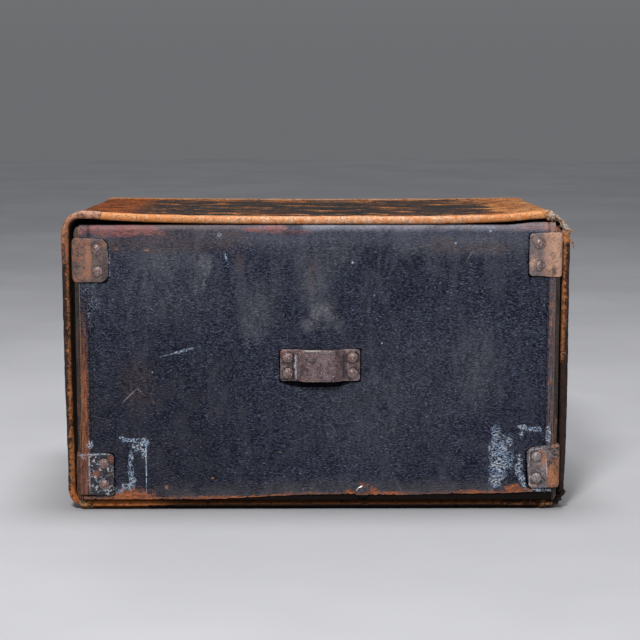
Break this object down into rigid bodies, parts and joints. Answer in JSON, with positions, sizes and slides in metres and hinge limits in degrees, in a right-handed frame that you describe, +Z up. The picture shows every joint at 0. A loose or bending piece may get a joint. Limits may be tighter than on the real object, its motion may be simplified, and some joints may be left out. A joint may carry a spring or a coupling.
{
  "type": "camera case",
  "caption": "Leather slip case: a rigid sleeve with a bound rim, and a lined tray with brackets and a pull strap that slides out of its open front.",
  "frame": {"origin": "bottom centre of the whole case with its tray closed", "axes": "+Z up, +X to the right along the case's length, -Y out of the open front, the way the tray slides"},
  "size_m": [0.508, 0.296, 0.304],
  "materials": {
    "board": "bare thin deal board, glued",
    "wrap_leather": "black leather worn through to tan, scuffed",
    "lining_cloth": "brown cotton lining cloth",
    "binding_leather": "tan leather with its black finish worn off",
    "patch_leather": "pinkish brown leather",
    "torn_leather": "torn leather with frayed canvas under it",
    "panel_leather": "pebbled black leather with a cold sheen and scuffs",
    "tray_leather": "dark brown leather, rubbed",
    "baize": "worn red baize",
    "thread": "waxed linen thread",
    "bracket_iron": "blackened sheet iron with a thin coat of rust",
    "rivet_steel": "dull rusted steel",
    "strap_leather": "grey brown leather, creased and rubbed",
    "stud_nickel": "nickel plate, tarnished",
    "rest_felt": "baize over wool felt padding"
  },
  "bodies": {
    "sleeve": {"sleeve_top_board": "board", "sleeve_base_board": "board", "sleeve_left_board": "board", "sleeve_right_board": "board", "sleeve_back_board": "board", "sleeve_corner_posts": "board", "sleeve_wrap_leather": "wrap_leather", "sleeve_back_leather": "wrap_leather", "sleeve_lining": "lining_cloth", "sleeve_back_lining": "lining_cloth", "rim_binding_top": "binding_leather", "rim_binding_bottom": "binding_leather", "rim_binding_left": "binding_leather", "rim_binding_right": "binding_leather", "rim_patch_top_left": "patch_leather", "rim_corner_top_right": "torn_leather", "rim_corner_bottom_left": "torn_leather", "rim_corner_bottom_right": "torn_leather", "back_binding": "binding_leather"},
    "tray": {"tray_front_board": "board", "tray_left_board": "board", "tray_right_board": "board", "tray_back_board": "board", "tray_bottom_board": "board", "tray_front_leather": "panel_leather", "tray_left_leather": "tray_leather", "tray_right_leather": "tray_leather", "tray_back_leather": "tray_leather", "tray_base_leather": "tray_leather", "tray_lining": "baize", "front_stitching": "thread", "bracket_top_left": "bracket_iron", "bracket_top_right": "bracket_iron", "bracket_bottom_left": "bracket_iron", "bracket_bottom_right": "bracket_iron", "bracket_rivets": "rivet_steel", "side_rivets": "rivet_steel", "rivet_washers": "rivet_steel", "pull_strap": "strap_leather", "strap_rivets": "rivet_steel", "edge_stud": "stud_nickel", "long_divider": "baize", "short_divider": "baize", "divider_cleats": "board", "camera_rests": "rest_felt"}
  },
  "joints": [
    {"name": "tray_slide", "type": "slide", "parent": "sleeve", "child": "tray", "axis": [0, -1, 0], "range_m": [0, 0.24]}
  ]
}
